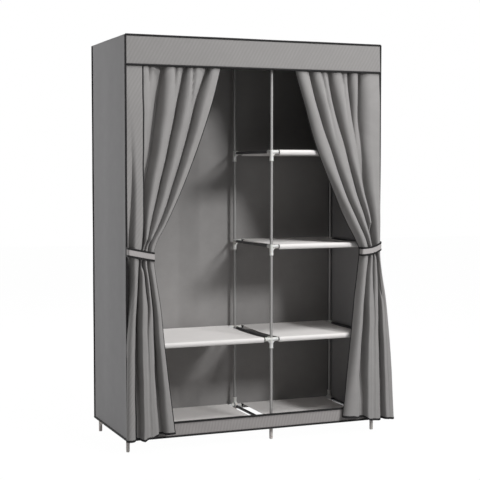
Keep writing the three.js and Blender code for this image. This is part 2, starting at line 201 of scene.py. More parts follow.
foot_plastic = moulded_plastic("beige_grey_polypropylene", "#EEE6E1", "#E0D8D3", 0.5)
for row in rows:
    for side in sides:
        node = f"foot_{row}_{side}"
        low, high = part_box(node)
        centre = (low + high) / 2
        radius, top = (high.x - low.x) / 2, high.z
        profile = [
            (0, 0), (radius * 0.62, 0), (radius * 0.76, 0.6 * mm), (radius * 0.84, 2 * mm),
            (radius * 0.875, 5 * mm), (radius - foot_lip / 2, top - 4 * mm),
            (radius - foot_lip / 4, top - 3.4 * mm), (radius, top - 2.4 * mm), (radius, top - foot_lip),
            (radius - foot_lip, top), (foot_bore + foot_lip / 2, top), (foot_bore, top - foot_lip),
            (foot_bore, foot_sole), (0, foot_sole),
        ]
        points, faces = turned(profile, (centre.x, centre.y, 0), (0, 0, 1))
        placed(solid(node + "_moulded", points, faces, foot_plastic), "root", "foot_plastic", node)

# Posts
# Six upright tubes of thin drawn steel, zinc grey, which run from the feet up into the top connectors.
# Round and plain, with a faint drawing grain along them that stretches the highlight.
tube_radius = 6 * mm
tube_wall = 0.6 * mm
tube_turn = 40


def drawn_steel(name, shade, streak_shade, roughness):
    """Drawn steel tube under thin zinc-grey lacquer: long fine streaks and a broad soft highlight.
    Metallic is matched to the photograph, well below bare steel's 1."""
    material, tree, shader = new_material(name, Metallic=0.35, Roughness=roughness)
    place = add_node(tree, "ShaderNodeUVMap", uv_map="along").outputs["UV"]
    streak_width, streak_length = 1.2 * mm, 90 * mm
    stretched = add_node(
        tree, "ShaderNodeMapping", {"Vector": place, "Scale": (1 / streak_width, 1 / streak_length, 1)}
    )
    streaks = add_node(
        tree, "ShaderNodeTexNoise", {"Vector": stretched.outputs["Vector"], "Scale": 1, "Detail": 4}
    )
    mask = streaks.outputs["Fac"]
    surfaced(tree, shader, mask, shade, streak_shade, mask, 0.15, 0.05 * mm)
    return material


def round_tube(name, start, end, radius, material):
    """A length of tube with its wall, rounded cut ends and a map that runs round it and along it."""
    start, end = Vector(start), Vector(end)
    length, bore, cut = (end - start).length, radius - tube_wall, tube_wall / 3
    profile = [
        (bore, cut), (bore + cut, 0), (radius - cut, 0), (radius, cut), (radius, length - cut),
        (radius - cut, length), (bore + cut, length), (bore, length - cut), (bore, cut),
    ]
    points, faces = turned(profile, start, end - start, tube_turn)
    made = solid(name, points, faces, material)
    axis = (end - start).normalized()
    across = axis.orthogonal().normalized()
    up = axis.cross(across)
    along_map = made.data.uv_layers.new(name="along")
    for face in made.data.polygons:
        turns = []
        for corner in face.loop_indices:
            spot = made.data.vertices[made.data.loops[corner].vertex_index].co - start
            turn = np.arctan2(spot.dot(up), spot.dot(across))
            turns.append((corner, turn, spot.dot(axis)))
        first = turns[0][1]
        for corner, turn, distance in turns:
            near = turn + 2 * np.pi * round((first - turn) / (2 * np.pi))
            along_map.data[corner].uv = (near * radius, distance)
    return made


lacquered_steel = drawn_steel("zinc_grey_lacquered_steel", "#A3A2A1", "#8F8E8D", 0.5)
for row in rows:
    for side in sides:
        node = f"post_{row}_{side}"
        low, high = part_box(node)
        middle = (low + high) / 2
        post = round_tube(
            node + "_tube", (middle.x, middle.y, low.z), (middle.x, middle.y, high.z), tube_radius,
            lacquered_steel,
        )
        placed(post, "root", "tube_steel", node)

# Cross tubes
# The same tube cut to the width of each bay, pushed into the connectors along the front and the back of
# every shelf and round the top, with one more across the left bay to hang clothes on. Its darker grey is
# painted shade: it is the posts' steel, drawn dark for the shade it lies in.
shade_darkened_steel = drawn_steel("shade_darkened_lacquered_steel", "#4A4A4C", "#3A3A3C", 0.42)
cross_tubes = [name for name in frame["nodes"] if name.startswith("tube_")] + ["hanging_rail"]
for node in cross_tubes:
    low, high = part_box(node)
    middle = (low + high) / 2
    cross = round_tube(
        node + "_steel", (low.x, middle.y, middle.z), (high.x, middle.y, middle.z), tube_radius, shade_darkened_steel
    )
    placed(cross, "root", "tube_steel", node)

# Curtain rod
# A thin solid steel rod behind the valance, lying in the eyes of the two front corner connectors.
rod_low, rod_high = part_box("curtain_rod")
rod_middle = (rod_low + rod_high) / 2
rod_radius = (rod_high.z - rod_low.z) / 2
rod = round_tube(
    "curtain_rod_steel", (rod_low.x, rod_middle.y, rod_middle.z), (rod_high.x, rod_middle.y, rod_middle.z),
    rod_radius, lacquered_steel,
)
placed(rod, "root", "tube_steel", "curtain_rod")

# Connectors and front-to-back tubes
# Multi-way connectors of white polypropylene: a sleeve slides on the post, and one tapered arm with a
# beaded mouth takes each cross tube, stiffened by a curved web. The tubes between them are drawn darker
# than the posts, as painted shade: they are the same steel.
bore_radius = tube_radius + 0.3 * mm
sleeve_radius = bore_radius + 1.7 * mm
bead = 0.7 * mm
arm_reach = 29 * mm
sleeve_reach = 37 * mm
web_reach = 24 * mm
web_thick = 7 * mm
socket_start = bore_radius + 3.2 * mm
eye_half = 5 * mm
tee_half = 18 * mm
level_names = {
    "floor": ("left", "centre", "right"), "low": ("left", "centre", "right"),
    "middle": ("centre", "right"), "high": ("centre", "right"), "top": ("left", "centre", "right"),
}
post_place = {}
for row in rows:
    for side in sides:
        low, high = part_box(f"post_{row}_{side}")
        post_place[row, side] = (low + high) / 2
level_height = {}
for level in level_names:
    low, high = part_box(f"tube_{level}_front_right")
    level_height[level] = (low.z + high.z) / 2
white_plastic = moulded_plastic("white_polypropylene", "#E2E0DD", "#D2D0CC", 0.42)


def arm_profile(reach):
    """A tapered arm from the post's axis to its beaded, rounded mouth."""
    return [
        (0, 0), (sleeve_radius, 0), (sleeve_radius * 0.985, reach * 0.45), (sleeve_radius, reach - 6 * mm),
        (sleeve_radius + bead * 0.55, reach - 5 * mm), (sleeve_radius + bead, reach - 3.8 * mm),
        (sleeve_radius + bead, reach - 1.2 * mm), (sleeve_radius + bead * 0.5, reach - 0.3 * mm),
        (sleeve_radius - bead * 0.4, reach), (0, reach),
    ]


def web_between(corner, arm, sleeve):
    """A web with a hollow curved edge in the angle of an arm and the sleeve, as points and faces."""
    corner, arm, sleeve = Vector(corner), Vector(arm), Vector(sleeve)
    across = arm.cross(sleeve) * (web_thick / 2)
    root = sleeve_radius * 0.4
    span, steps = web_reach - root, 8
    outline = [corner]
    for step in range(steps + 1):
        angle, share = np.pi / 2 * step / steps, step / steps
        hollow = root + span * (0.5 * (1 - np.sin(angle)) + 0.5 * (1 - share))
        rise = root + span * (0.5 * (1 - np.cos(angle)) + 0.5 * share)
        outline.append(corner + arm * hollow + sleeve * rise)
    count = len(outline)
    points = [spot + across for spot in outline] + [spot - across for spot in outline]
    faces = [list(range(count)), list(range(2 * count - 1, count - 1, -1))]
    faces += [[i, (i + 1) % count, count + (i + 1) % count, count + i] for i in range(count)]
    return points, faces


def settled(piece):
    """Turns a piece's modifiers into plain mesh."""
    bpy.context.view_layer.update()
    seen = piece.evaluated_get(bpy.context.evaluated_depsgraph_get())
    mesh = bpy.data.meshes.new_from_object(seen)
    piece.modifiers.clear()
    piece.data = mesh
    return piece


def pin(radius, length):
    """The profile of a plain round pin or hole."""
    return [(0, 0), (radius, 0), (radius, length), (0, length)]


def moulding(name, adds, cuts):
    """Joins solids and cuts others out of them, as one moulded piece."""
    shapes = [(solid(f"{name}_{i}", *shape, white_plastic), "UNION") for i, shape in enumerate(adds)]
    shapes += [
        (solid(f"{name}_cut_{i}", *shape, white_plastic), "DIFFERENCE") for i, shape in enumerate(cuts)
    ]
    base = shapes[0][0]
    for other, operation in shapes[1:]:
        step = base.modifiers.new("join", "BOOLEAN")
        step.solver, step.operation, step.object = "MANIFOLD", operation, other
    settled(base)
    for other, operation in shapes[1:]:
        bpy.data.objects.remove(other)
    base.name = name
    base.data.shade_smooth()
    base.data.set_sharp_from_angle(angle=np.radians(32))
    return base


def connector(spot, ways, inward, sleeve_way, closed_top):
    """One connector: arms along X and one inward along Y, and a sleeve up or down the post."""
    spot = Vector(spot)
    sleeve = Vector((0, 0, sleeve_way))
    start = spot - sleeve * sleeve_radius
    adds = [turned(
        [(0, 0), (sleeve_radius - bead, 0), (sleeve_radius, bead)]
        + [(radius, reach + sleeve_radius) for radius, reach in arm_profile(sleeve_reach)[2:]],
        start, sleeve,
    )]
    cuts = []
    arms = [Vector((way, 0, 0)) for way in ways] + [Vector((0, inward, 0))]
    for arm in arms:
        adds.append(turned(arm_profile(arm_reach), spot, arm))
        adds.append(web_between(spot, arm, sleeve))
    blind = socket_start if closed_top else -sleeve_radius - mm
    sockets = [(arm, arm_reach, socket_start) for arm in arms] + [(sleeve, sleeve_reach, blind)]
    for way, reach, begin in sockets:
        long = reach - begin
        socket = [(0, 0), (bore_radius, 0), (bore_radius, long - mm), (bore_radius + mm, long),
                  (bore_radius + mm, long + mm), (0, long + mm)]
        cuts.append(turned(socket, spot + way * begin, way))
    return adds, cuts


tube_row = {row: post_place[row, "left"].y for row in rows}
rail_y = sum(tube_row.values()) / 2
for level, level_sides in level_names.items():
    z = level_height[level]
    for side in level_sides:
        x = post_place["front", side].x
        ways = [way for way, there in ((-1, side != level_sides[0]), (1, side != level_sides[-1])) if there]
        for row in rows:
            inward = 1 if row == "front" else -1
            adds, cuts = connector(
                (x, tube_row[row], z), ways, inward, 1 if level == "floor" else -1, level == "top"
            )
            if level == "top" and row == "front" and side != "centre":
                eye_reach = rod_radius + 2.5 * mm
                eye = (x - eye_half, rod_middle.y, rod_middle.z)
                adds.append(turned(pin(eye_reach, 2 * eye_half), eye, (1, 0, 0)))
                post_reach = tube_row[row] - bore_radius - rod_middle.y
                stem_profile = [(0, 0), (eye_half * 0.7, 0), (eye_half * 0.9, post_reach), (0, post_reach)]
                adds.append(turned(stem_profile, (x, rod_middle.y, rod_middle.z), (0, 1, 0)))
                hole = rod_radius + 0.3 * mm
                hole_start = (x - 2 * eye_half, rod_middle.y, rod_middle.z)
                cuts.append(turned(pin(hole, 4 * eye_half), hole_start, (1, 0, 0)))
            piece = moulding(f"connector_{level}_{row}_{side}", adds, cuts)
            nodes = [f"rung_{level}_{side}"] if row == "front" else []
            placed(piece, "root", "connector_plastic", *nodes)
        gap = socket_start + 0.3 * mm
        # The tube from front to back takes the same darkened steel, as painted shade.
        crossbar = round_tube(
            f"depth_tube_{level}_{side}", (x, tube_row["front"] + gap, z), (x, tube_row["rear"] - gap, z),
            tube_radius, shade_darkened_steel,
        )
        placed(crossbar, "root", "tube_steel")
for side, way in (("left", 1), ("centre", -1)):
    x, z = post_place["front", side].x, level_height["top"]
    half_tee = [(r, d + tee_half) for r, d in arm_profile(tee_half)[2:]]
    whole_tee = [(r, tee_half - (d - tee_half)) for r, d in reversed(half_tee)] + half_tee
    adds = [
        turned(whole_tee, (x, rail_y - tee_half, z), (0, 1, 0)),
        turned(arm_profile(arm_reach), (x, rail_y, z), (way, 0, 0)),
    ]
    cuts = [
        turned(pin(bore_radius, 3 * tee_half), (x, rail_y - 1.5 * tee_half, z), (0, 1, 0)),
        turned(pin(bore_radius, arm_reach), (x + way * socket_start, rail_y, z), (way, 0, 0)),
    ]
    placed(moulding(f"rail_tee_{side}", adds, cuts), "root", "connector_plastic")

# Shelves
# Six pieces of white spun polypropylene cloth. The front and the rear edge of each are turned under and
# stitched into a tunnel round the cross tube, and the cloth between them sags a little.
shelf_cloth_thick = 1.1 * mm
shelf_sag = {"floor": 3 * mm, "low": 5 * mm, "middle": 5 * mm, "high": 5 * mm}
thread_spacing = 4.5 * mm
thread_length = 3.2 * mm
thread_radius = 0.35 * mm


def spun_cloth(name, shade, shadow_shade, ribs=(), sheen=0.12, rib_contrast=0.5):
    """Spun and pressed polypropylene cloth: matt, with small pressed dots, cloudy fibre patches and,
    where ribs are named as (angle, pitch), faint slanting ribs that the eye sees as soft bands."""
    material, tree, shader = new_material(
        name, Roughness=0.92, IOR=1.45, Sheen_Weight=sheen, Sheen_Roughness=0.5, Specular_IOR_Level=0.25
    )
    place = add_node(tree, "ShaderNodeUVMap", uv_map="cloth").outputs["UV"]
    cloud_size, thread_pitch = 60 * mm, 2.4 * mm  # the real press pattern is about half as coarse
    clouds = add_node(
        tree, "ShaderNodeTexNoise", {"Vector": place, "Scale": 1 / cloud_size, "Detail": 5, "Roughness": 0.6}
    )
    tone = add_node(
        tree, "ShaderNodeMix", {0: clouds.outputs["Fac"], 6: linear(shade), 7: linear(shadow_shade)},
        data_type="RGBA",
    ).outputs[2]
    wave_scale = 2 * np.pi / 20
    for angle, pitch in ribs:
        leaning = add_node(
            tree, "ShaderNodeMapping", {"Vector": place, "Rotation": (0, 0, np.radians(angle))}
        )
        rib = add_node(tree, "ShaderNodeTexWave", {
            "Vector": leaning.outputs["Vector"], "Scale": wave_scale / pitch, "Distortion": 1.6, "Detail": 2,
        })
        weak = add_node(
            tree, "ShaderNodeMath", {0: rib.outputs["Fac"], 1: rib_contrast}, operation="MULTIPLY"
        )
        tone = add_node(
            tree, "ShaderNodeMix", {0: weak.outputs[0], 6: tone, 7: linear(shadow_shade)}, data_type="RGBA"
        ).outputs[2]
    tree.links.new(tone, shader.inputs["Base Color"])
    heights = []
    for angle in (45, -45):
        turned_place = add_node(
            tree, "ShaderNodeMapping", {"Vector": place, "Rotation": (0, 0, np.radians(angle))}
        )
        heights.append(add_node(tree, "ShaderNodeTexWave", {
            "Vector": turned_place.outputs["Vector"], "Scale": wave_scale / thread_pitch, "Distortion": 0.4,
        }).outputs["Fac"])
    dots = add_node(tree, "ShaderNodeMath", {0: heights[0], 1: heights[1]}, operation="MULTIPLY")
    bump = add_node(
        tree, "ShaderNodeBump", {"Height": dots.outputs[0], "Strength": 0.35, "Distance": 0.15 * mm}
    )
    tree.links.new(bump.outputs["Normal"], shader.inputs["Normal"])
    return material


def cloth_sheet(name, grid, material, thick, offset=-1, strip=0, strip_material=None):
    """A sheet of cloth on a grid of points [row][column], mapped in metres of cloth, with its thickness.
    Its first columns may be a strip of another finish."""
    grid = np.asarray(grid, float)
    count, width = grid.shape[:2]
    faces = []
    for i in range(count - 1):
        for j in range(width - 1):
            a = i * width + j
            faces.append((a, a + 1, a + width + 1, a + width))
    across = np.linalg.norm(np.diff(grid, axis=1), axis=2)
    along = np.linalg.norm(np.diff(grid, axis=0), axis=2).mean(axis=1)
    u = np.concatenate([np.zeros((count, 1)), across.cumsum(axis=1)], axis=1)
    v = np.concatenate([[0], along.cumsum()])[:, None] * np.ones((1, width))
    mesh = bpy.data.meshes.new(name)
    mesh.from_pydata(grid.reshape(-1, 3).tolist(), [], faces)
    mesh.materials.append(material)
    if strip:
        mesh.materials.append(strip_material)
        in_strip = [int(i % (width - 1) < strip) for i in range(len(faces))]
        mesh.polygons.foreach_set("material_index", in_strip)
    cloth_map = mesh.uv_layers.new(name="cloth")
    spots = np.stack([u, v], axis=2).reshape(-1, 2)
    corners = np.empty(len(mesh.loops), np.int64)
    mesh.loops.foreach_get("vertex_index", corners)
    cloth_map.data.foreach_set("uv", spots[corners].astype(np.float32).ravel())
    made = linked(name, mesh)
    wall = made.modifiers.new("thickness", "SOLIDIFY")
    wall.thickness, wall.offset = thick, offset
    settled(made)
    made.data.shade_smooth()
    made.data.set_sharp_from_angle(angle=np.radians(60))
    return made


def node_group(name, sockets):
    """A new geometry tree that runs along a line: the tree, its named inputs and the line's curve."""
    tree = bpy.data.node_groups.new(name, "GeometryNodeTree")
    tree.interface.new_socket("Geometry", in_out="INPUT", socket_type="NodeSocketGeometry")
    for label, kind in sockets:
        tree.interface.new_socket(label, in_out="INPUT", socket_type=kind)
    tree.interface.new_socket("Geometry", in_out="OUTPUT", socket_type="NodeSocketGeometry")
    entry = add_node(tree, "NodeGroupInput")
    line = add_node(tree, "GeometryNodeMeshToCurve", {"Mesh": entry.outputs["Geometry"]})
    return tree, entry.outputs, line.outputs["Curve"]


def finished_group(tree, geometry, material):
    """Ends a geometry tree: real meshes, their material and smooth shading."""
    real = add_node(tree, "GeometryNodeRealizeInstances", {"Geometry": geometry})
    dyed = add_node(tree, "GeometryNodeSetMaterial", {"Geometry": real.outputs[0], "Material": material})
    smooth = add_node(tree, "GeometryNodeSetShadeSmooth", {"Geometry": dyed.outputs[0]})
    add_node(tree, "NodeGroupOutput", {"Geometry": smooth.outputs[0]})
    return tree


def stitch_tree():
    """Stitches laid end to end along a line: short rounded threads, one every spacing."""
    tree, entry, line = node_group("stitching", [
        ("Spacing", "NodeSocketFloat"), ("Length", "NodeSocketFloat"), ("Radius", "NodeSocketFloat"),
        ("Thread", "NodeSocketMaterial"),
    ])
    places = add_node(
        tree, "GeometryNodeCurveToPoints", {"Curve": line, "Length": entry["Spacing"]}, mode="LENGTH"
    )
    ball = add_node(tree, "GeometryNodeMeshUVSphere", {"Segments": 6, "Rings": 4, "Radius": 1.0})
    half = add_node(tree, "ShaderNodeMath", {0: entry["Length"], 1: 0.5}, operation="MULTIPLY")
    size = add_node(
        tree, "ShaderNodeCombineXYZ", {"X": entry["Radius"], "Y": entry["Radius"], "Z": half.outputs[0]}
    )
    threads = add_node(tree, "GeometryNodeInstanceOnPoints", {
        "Points": places.outputs["Points"], "Instance": ball.outputs["Mesh"],
        "Rotation": places.outputs["Rotation"], "Scale": size.outputs[0],
    })
    return finished_group(tree, threads.outputs["Instances"], entry["Thread"])


def along_lines(name, lines, tree, inputs):
    """Runs a geometry tree along polylines and turns what it makes into a plain mesh."""
    points, edges = [], []
    for line in lines:
        first = len(points)
        points += [tuple(map(float, spot)) for spot in line]
        edges += [(first + i, first + i + 1) for i in range(len(line) - 1)]
    mesh = bpy.data.meshes.new(name)
    mesh.from_pydata(points, edges, [])
    made = linked(name, mesh)
    maker = made.modifiers.new(tree.name, "NODES")
    maker.node_group = tree
    for item in tree.interface.items_tree:
        if item.in_out == "INPUT" and item.name in inputs:
            maker[item.identifier] = inputs[item.name]
    return settled(made)


def spun_thread(name, shade):
    """Spun polyester sewing thread: matt, a little darker or lighter than the cloth it holds."""
    material, tree, shader = new_material(name, Roughness=0.8, IOR=1.5, Sheen_Weight=0.1)
    place = add_node(tree, "ShaderNodeTexCoord").outputs["Object"]
    ply = 0.5 * mm
    twist = add_node(tree, "ShaderNodeTexNoise", {"Vector": place, "Scale": 1 / ply, "Detail": 1})
    tone = add_node(
        tree, "ShaderNodeMix",
        {0: twist.outputs["Fac"], 6: linear(shade), 7: [0.8 * c for c in linear(shade)[:3]] + [1]},
        data_type="RGBA",
    )
    tree.links.new(tone.outputs[2], shader.inputs["Base Color"])
    return material


stitching = stitch_tree()
white_cloth = spun_cloth("white_spun_polypropylene", "#F1EEEC", "#E9E6E4", sheen=0.05)
white_thread = spun_thread("white_thread", "#BDB9B6")


def stitches(name, lines, thread):
    """A row of machine stitches along each line."""
    return along_lines(name, lines, stitching, {
        "Spacing": thread_spacing, "Length": thread_length, "Radius": thread_radius, "Thread": thread,
    })


tunnel = tube_radius + 0.5 * mm + shelf_cloth_thick
seam_inset = 17 * mm
pucker_pitch = 23 * mm
shelf_nodes = sorted(name for name in frame["nodes"] if name.startswith("shelf_"))
for number, node in enumerate(shelf_nodes):
    low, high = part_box(node)
    level = node.split("_")[1]
    z, sag = level_height[level], shelf_sag[level]
    front_y, rear_y = tube_row["front"], tube_row["rear"]
    wrap = np.radians(np.linspace(-38, -270, 22))
    hang = [1.5 if np.sin(a) < 0 else 1 for a in wrap]
    front_turn = [
        (front_y + tunnel * np.cos(a), tunnel * np.sin(a) * loose) for a, loose in zip(wrap, hang)
    ]
    span = np.linspace(0, 1, 40)[1:-1]
    middle = [(front_y + (rear_y - front_y) * t, tunnel) for t in span]
    rear_turn = [(rear_y - (y - front_y), h) for y, h in reversed(front_turn)]
    under = tunnel - 2.2 * shelf_cloth_thick
    section = [
        (front_y + seam_inset, under), *front_turn, *middle, *rear_turn, (rear_y - seam_inset, under),
    ]
    xs = np.linspace(low.x, high.x, 64)
    grid = []
    for x in xs:
        t = (x - low.x) / (high.x - low.x)
        slack = 0.75 + 0.25 * np.cos(2 * np.pi * t)
        row_points = []
        for y, h in section:
            share = np.clip((y - front_y) / (rear_y - front_y), 0, 1)
            on_top = h > tunnel * 0.5 and tunnel < y - front_y < rear_y - front_y - tunnel
            dip = sag * np.sin(np.pi * share) ** 0.8 * slack if on_top else 0
            near_seam = np.exp(-min(share, 1 - share) * (rear_y - front_y) / (28 * mm))
            pucker = 0.5 * mm * near_seam * np.sin(2 * np.pi * x / pucker_pitch + 1.7 * number)
            wander = 0.8 * mm * np.sin(np.pi * share) * np.sin(5 * x / (high.x - low.x) + 3 * y + number)
            row_points.append((x, y, z + h - dip + (pucker + wander if on_top else 0)))
        grid.append(row_points)
    shelf = cloth_sheet(node + "_cloth", grid, white_cloth, shelf_cloth_thick)
    placed(shelf, "root", "cloth_white", node)
    seams = []
    for seam_y in (front_y + seam_inset - 2 * mm, rear_y - seam_inset + 2 * mm):
        column = int(np.argmin([abs(y - seam_y) + (0 if h > tunnel * 0.9 else 1) for y, h in section]))
        seams.append([Vector(line[column]) + Vector((0, 0, 0.3 * mm)) for line in grid])
    sewn = placed(stitches(node + "_stitches", seams, white_thread), "root", "cloth_white")

# Cover
# Six panels of grey spun polypropylene cloth sewn into a case that is pulled down over the frame. The top
# rests on the tubes and sags between them; the back and the sides hang with slack, shallow waves.
grey, grey_shadow = "#9C9A99", "#8F8D8C"
cover_cloth = 1.2 * mm
top_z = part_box("cover_top")[1].z
left_x, right_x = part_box("cover_left")[0].x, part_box("cover_right")[1].x
front_y, back_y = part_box("cover_valance")[0].y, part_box("cover_back")[1].y
hem_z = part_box("cover_left")[0].z
valance_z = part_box("cover_valance")[0].z
band_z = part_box("cover_bottom_band")[1].z
edge_gap = 0.8 * mm
# Painted shade and painted light: the valance and the band are the same grey cloth as the rest, the
# valance's grey set darker and the band's lighter to stand in for how the light falls on them.
valance_cloth_painted_shade = spun_cloth(
    "grey_spun_polypropylene_ribbed_painted_shade", "#989695", "#8A8887", ribs=[(30, 13 * mm)], rib_contrast=0.8
)
band_cloth_painted_light = spun_cloth(
    "grey_spun_polypropylene_band_painted_light", "#ABA7A6", "#999594", ribs=[(14, 13 * mm)], rib_contrast=1.0
)
plain_cloth = spun_cloth("grey_spun_polypropylene", grey, grey_shadow)
side_cloth = spun_cloth(
    "grey_spun_polypropylene_side", "#999899", "#8D8C8D", ribs=[(0, 7 * mm)], rib_contrast=0.3
)


def ripple(along, up, seed):
    """A slow uneven wave from -1 to 1 over a panel, from a few sines."""
    return (
        0.5 * np.sin(along * 9.1 + seed + 0.6 * np.sin(up * 2.3 + seed))
        + 0.3 * np.sin(along * 17.3 + 2.1 * seed + 0.8 * np.sin(up * 3.1))
        + 0.2 * np.sin(along * 5.2 + up * 4.3 + 1.3 * seed)
    )


def panel(name, corner, across, up, outward, depth_at, material, shape=(90, 90)):
    """A flat panel from a corner along two edges, moved outward by depth_at(across share, up share)."""
    corner, across, up, outward = (np.array(v, float) for v in (corner, across, up, outward))
    grid = []
    for t in np.linspace(0, 1, shape[1]):
        grid.append([
            corner + across * s + up * t + outward * depth_at(s, t) for s in np.linspace(0, 1, shape[0])
        ])
    return cloth_sheet(name, grid, material, cover_cloth)


def side_depth(seed, amount):
    """Slack of an upright panel: none at its seams, shallow upright waves between them."""
    def depth(s, t):
        held = min(1, 9 * s) * min(1, 9 * (1 - s)) * min(1, 14 * (1 - t)) * min(1, 6 * t + 0.35)
        return amount * held * (ripple(s, t, seed) - 1)
    return depth


def top_depth(s, t):
    """Sag of the top between the tubes that carry it, which stand a little inside its edges."""
    x, y = left_x + (right_x - left_x) * s, front_y + (back_y - front_y) * t
    xs = [left_x, post_place["front", "centre"].x, right_x]
    bay = 0 if x < xs[1] else 1
    sx = (x - xs[bay]) / (xs[bay + 1] - xs[bay])
    sy = np.clip((y - tube_row["front"]) / (tube_row["rear"] - tube_row["front"]), 0, 1)
    return -6 * mm * abs(np.sin(np.pi * sx)) ** 0.8 * np.sin(np.pi * sy) ** 0.8


def valance_depth(s, t):
    """The valance hangs from the top seam; its free lower edge waves and lifts at the right corner."""
    free = 1 - t
    lift = 2.2 * mm * np.exp(-((1 - s) / 0.012) ** 2) * free
    return free ** 1.5 * (1.4 * mm * (ripple(s * 1.4, 0.3, 2.0) + 0.4)) + lift


def band_depth(s, t):
    """The band is stretched between the front corners and puckers very slightly."""
    return 0.7 * mm * np.sin(np.pi * t) * ripple(s * 3, t, 4.4)


width, deep, tall = right_x - left_x, back_y - front_y, top_z - hem_z
side_up = (0, 0, tall - edge_gap)
front_width = width - 2 * edge_gap
panels = {
    "cover_top": ((left_x, front_y, top_z), (width, 0, 0), (0, deep, 0), (0, 0, 1), top_depth, plain_cloth),
    "cover_back": (
        (right_x, back_y, hem_z), (-width, 0, 0), side_up, (0, 1, 0), side_depth(1.2, 2.2 * mm), plain_cloth,
        (140, 90),
    ),
    "cover_left": (
        (left_x, back_y, hem_z), (0, -deep, 0), side_up, (-1, 0, 0), side_depth(2.7, 1.6 * mm), side_cloth
    ),
    "cover_right": (
        (right_x, front_y, hem_z), (0, deep, 0), side_up, (1, 0, 0), side_depth(3.9, 1.6 * mm), side_cloth
    ),
    "cover_valance": (
        (left_x + edge_gap, front_y, valance_z), (front_width, 0, 0), (0, 0, top_z - valance_z - edge_gap),
        (0, -1, 0), valance_depth, valance_cloth_painted_shade, (160, 18),
    ),
    "cover_bottom_band": (
        (left_x + edge_gap, front_y, hem_z), (front_width, 0, 0), (0, 0, band_z - hem_z), (0, -1, 0),
        band_depth, band_cloth_painted_light, (140, 10),
    ),
}
cover_pieces = {node: panel(node + "_cloth", *facts) for node, facts in panels.items()}

# Piping
# Every seam and hem of the cover is closed with a round cord in folded black tape, about eight millimetres
# thick, held by one row of stitches beside it. Most rear seams and the grey ones above the sides are finer.
piping_radius = 4.2 * mm
fine_piping_radius = 2.3 * mm
stitch_inset = 5.5 * mm


def piping_tree():
    """A round cord along a line, with closed ends."""
    tree, entry, line = node_group("piping", [
        ("Radius", "NodeSocketFloat"), ("Step", "NodeSocketFloat"), ("Tape", "NodeSocketMaterial"),
    ])
    even = add_node(
        tree, "GeometryNodeResampleCurve", {"Curve": line, "Length": entry["Step"]}, mode="LENGTH"
    )
    ring = add_node(
        tree, "GeometryNodeCurvePrimitiveCircle", {"Resolution": 10, "Radius": entry["Radius"]},
        mode="RADIUS",
    )
    cord = add_node(tree, "GeometryNodeCurveToMesh", {
        "Curve": even.outputs["Curve"], "Profile Curve": ring.outputs["Curve"], "Fill Caps": True,
    })
    return finished_group(tree, cord.outputs["Mesh"], entry["Tape"])


def black_tape_material():
    """Woven black polypropylene tape: matt charcoal with fine cross ribs and a weak dusty sheen."""
    material, tree, shader = new_material(
        "black_woven_tape", Roughness=0.75, IOR=1.48, Sheen_Weight=0.04, Specular_IOR_Level=0.3
    )
    place = add_node(tree, "ShaderNodeTexCoord").outputs["Object"]
    rib = 1.6 * mm
    yarn = add_node(tree, "ShaderNodeTexNoise", {"Vector": place, "Scale": 1 / rib, "Detail": 3})
    surfaced(tree, shader, yarn.outputs["Fac"], "#171617", "#0D0C0D", yarn.outputs["Fac"], 0.4, 0.2 * mm)
    return material


piping = piping_tree()
black_tape = black_tape_material()
grey_thread = spun_thread("grey_thread", "#7E7C7B")


def piped(name, lines, radius=piping_radius, material=None):
    """A piping cord along each line."""
    return along_lines(name, lines, piping, {
        "Radius": radius, "Step": 12 * mm, "Tape": material or black_tape,
    })


def edge(start, end, wave=0.5 * mm, seed=0.0):
    """A nearly straight seam line that wanders a little, as a sewn seam does."""
    start, end = np.array(start, float), np.array(end, float)
    length = np.linalg.norm(end - start)
    count = max(2, int(length / (12 * mm)))
    side = np.cross((end - start) / length, (0.36, 0.48, 0.8))
    spots = []
    for t in np.linspace(0, 1, count + 1):
        sway = wave * np.sin(np.pi * t) * np.sin(t * length * 14 + seed)
        spots.append(start + (end - start) * t + side * sway)
    return spots


corner = {
    "front_left": (left_x + mm, front_y + mm), "front_right": (right_x - mm, front_y + mm),
    "rear_left": (left_x + mm, back_y - mm), "rear_right": (right_x - mm, back_y - mm),
}
seam_z = top_z - mm
thick_cord, fine_cord = piping_radius, fine_piping_radius
rear_left_x, rear_left_y = left_x - mm, back_y - 2 * mm
# Start, end, seed of the wander and radius of each cord.
cover_piping = {
    "front_left": ((*corner["front_left"], hem_z), (*corner["front_left"], seam_z), 0.4, thick_cord),
    "front_right": ((*corner["front_right"], hem_z), (*corner["front_right"], seam_z), 1.9, thick_cord),
    "front_top": ((*corner["front_left"], seam_z), (*corner["front_right"], seam_z), 2.4, thick_cord),
    "band_top": ((left_x + 2 * mm, front_y, band_z), (right_x - 2 * mm, front_y, band_z), 0.9, thick_cord),
    "hem_front": ((left_x, front_y + mm, hem_z), (right_x, front_y + mm, hem_z), 3.3, thick_cord),
    "hem_left": ((left_x - mm, front_y, hem_z), (left_x - mm, back_y, hem_z), 1.1, thick_cord),
    "hem_right": ((right_x - mm, front_y, hem_z), (right_x - mm, back_y, hem_z), 2.2, thick_cord),
    "hem_back": ((left_x, back_y - mm, hem_z), (right_x, back_y - mm, hem_z), 5.0, thick_cord),
    "rear_left": ((rear_left_x, rear_left_y, hem_z), (rear_left_x, rear_left_y, seam_z), 0.4, 3.8 * mm),
    "rear_right": ((*corner["rear_right"], hem_z), (*corner["rear_right"], seam_z), 1.9, fine_cord),
    "rear_top": ((*corner["rear_left"], seam_z), (*corner["rear_right"], seam_z), 2.4, fine_cord),
}
for name, (start, end, seed, radius) in cover_piping.items():
    placed(piped("piping_" + name, [edge(start, end, seed=seed)], radius), "root", "cloth_grey")
lower_edge = []
